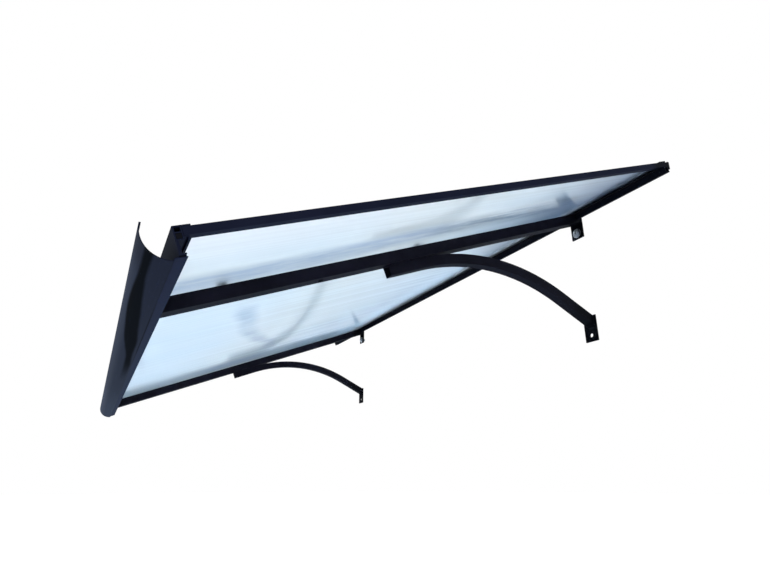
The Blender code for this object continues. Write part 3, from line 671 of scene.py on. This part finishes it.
def make_head_weld(side, finish):
    """Stitches along both sides of the arm's head under the rafter, and one across its end."""
    left, right = side_faces(f"arm_{side}")
    lines = [[(x, v) for v in stitch] for x in (left, right) for stitch in HEAD_STITCHES]
    lines.append([(x, HEAD_END) for x in (left + HEAD_INSET, right - HEAD_INSET)])
    work = bmesh.new()
    for line in lines:
        weld_bead(work, [roof_point(x, v, HEAD_JOINT) for x, v in line], HEAD_WELD_RADII)
    add_piece(f"weld_head_{side}", work, finish)


def make_welds(finish):
    """Weld beads where the rafters and arms meet their wall plates and each other."""
    for side in SIDES:
        make_wall_weld("upper", "rafter", side, UPPER_WELD_LEVELS, UPPER_WELD_RADII, finish)
        make_wall_weld("lower", "arm", side, LOWER_WELD_LEVELS, LOWER_WELD_RADII, finish)
        make_head_weld(side, finish)


def make_rafter_plugs(finish):
    """Small domed plug in the underside of each rafter."""
    turns = [math.tau * k / PLUG_SIDES for k in range(PLUG_SIDES)]
    for side in SIDES:
        centre = middle(f"rafter_{side}")
        work = bmesh.new()
        rings = []
        for radius, drop in PLUG_PROFILE:
            ring = [(centre + radius * math.cos(t), PLUG_PLACE + radius * math.sin(t)) for t in turns]
            rings.append([work.verts.new(roof_point(x, v, RAFTER_UNDERSIDE - drop)) for x, v in ring])
        skin(work, rings)
        add_piece(f"rafter_plug_{side}", work, finish)


def round_edges():
    """Slightly rounded edges on the tubes and plates of both brackets."""
    for node in ROUNDED_NODES:
        for side in SIDES:
            piece = frame["nodes"][f"{node}_{side}"]
            piece.modifiers.new("join", "WELD").merge_threshold = JOIN_DISTANCE
            bevel = piece.modifiers.new("round", "BEVEL")
            bevel.width = EDGE_ROUND
            bevel.segments = EDGE_SEGMENTS
            bevel.limit_method = "ANGLE"
            bevel.angle_limit = EDGE_ANGLE
            bevel.harden_normals = True


# Studio


def make_world():
    """Soft daylight: plain white to the camera and through the sheet, cool white in gloss."""
    world = bpy.data.worlds.new("studio")
    bpy.context.scene.world = world
    world.use_nodes = True
    nodes = Nodes(world.node_tree)
    path = nodes.add("ShaderNodeLightPath").outputs
    direct = nodes.math("MAXIMUM", path["Is Camera Ray"], path["Is Transmission Ray"])
    colour = nodes.mix(path["Is Glossy Ray"], AMBIENT, GLOSS_WHITE)
    background = nodes.tree.nodes["Background"].inputs
    nodes.feed(background["Color"], nodes.mix(direct, colour, WHITE))
    nodes.feed(background["Strength"], 1.0)


def floor_paint(name):
    """Pale floor that glows to the camera, in gloss and through the sheet, most of all far out."""
    shader = Shader(name)
    path = shader.add("ShaderNodeLightPath").outputs
    seen = shader.math("MAXIMUM", path["Is Camera Ray"], path["Is Transmission Ray"])
    seen = shader.math("MAXIMUM", seen, path["Is Glossy Ray"])
    distance = shader.add("ShaderNodeVectorMath", {0: shader.place}, operation="LENGTH")
    glow = shader.ramp(distance.outputs["Value"], *FLOOR_GLOW)
    shader.set(Base_Color=shader.mix(path["Is Camera Ray"], FLOOR_TONE, FLOOR_SEEN), Roughness=0.9)
    shader.set(Emission_Color=shader.mix(path["Is Glossy Ray"], WHITE, FLOOR_MIRRORED))
    shader.set(Emission_Strength=shader.times(seen, glow))
    return shader.material


def make_floor():
    """Round floor far under the canopy."""
    work = bmesh.new()
    bmesh.ops.create_circle(work, cap_ends=True, segments=FLOOR_SIDES, radius=FLOOR_RADIUS)
    mesh = bpy.data.meshes.new("floor")
    work.to_mesh(mesh)
    work.free()
    mesh.materials.append(floor_paint("pale_floor"))
    floor = bpy.data.objects.new("floor", mesh)
    floor.location = (0.0, 0.0, FLOOR_LEVEL)
    bpy.context.scene.collection.objects.link(floor)


def aim_object(name, data, place, ahead):
    """Lamp or camera at a place, looking ahead."""
    thing = bpy.data.objects.new(name, data)
    thing.location = place
    thing.rotation_mode = "QUATERNION"
    thing.rotation_quaternion = ahead.to_track_quat("-Z", "Y")
    bpy.context.scene.collection.objects.link(thing)
    return thing


def make_lamp():
    """Square area lamp as the key light."""
    light = bpy.data.lights.new("key", "AREA")
    light.shape = "SQUARE"
    light.size = KEY_SIDE
    light.energy = KEY_POWER
    light.color = KEY_COLOUR
    aim_object("key", light, KEY_PLACE, Vector(KEY_AIM) - Vector(KEY_PLACE))


def make_camera():
    """Camera at the photograph's place and angle."""
    data = bpy.data.cameras.new("camera")
    data.sensor_fit = "HORIZONTAL"
    data.sensor_width = SENSOR_WIDTH
    data.lens = CAMERA_LENS
    data.clip_start, data.clip_end = CAMERA_CLIP
    level = math.cos(CAMERA_RISE)
    ahead = Vector((-level * math.cos(CAMERA_YAW), level * math.sin(CAMERA_YAW), math.sin(CAMERA_RISE)))
    bpy.context.scene.camera = aim_object("camera", data, CAMERA_PLACE, ahead)


with open("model.json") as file:
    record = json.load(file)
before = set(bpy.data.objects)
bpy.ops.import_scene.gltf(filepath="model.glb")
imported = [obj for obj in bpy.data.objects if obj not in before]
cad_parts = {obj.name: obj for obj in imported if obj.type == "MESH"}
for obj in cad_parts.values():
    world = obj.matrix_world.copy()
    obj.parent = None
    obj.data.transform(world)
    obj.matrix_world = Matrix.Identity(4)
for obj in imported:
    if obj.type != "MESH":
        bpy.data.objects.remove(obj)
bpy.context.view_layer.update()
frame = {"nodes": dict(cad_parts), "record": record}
bpy.context.scene.view_settings.view_transform = "Standard"
make_camera()
make_world()
make_floor()
make_lamp()
finishes = dress_frame()
make_welds(finishes["bracket_steel"])
make_rafter_plugs(finishes["rubber"])
round_edges()
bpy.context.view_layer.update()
bpy.context.scene.cycles.max_bounces = LIGHT_BOUNCES
bpy.context.scene.cycles.transmission_bounces = LIGHT_BOUNCES
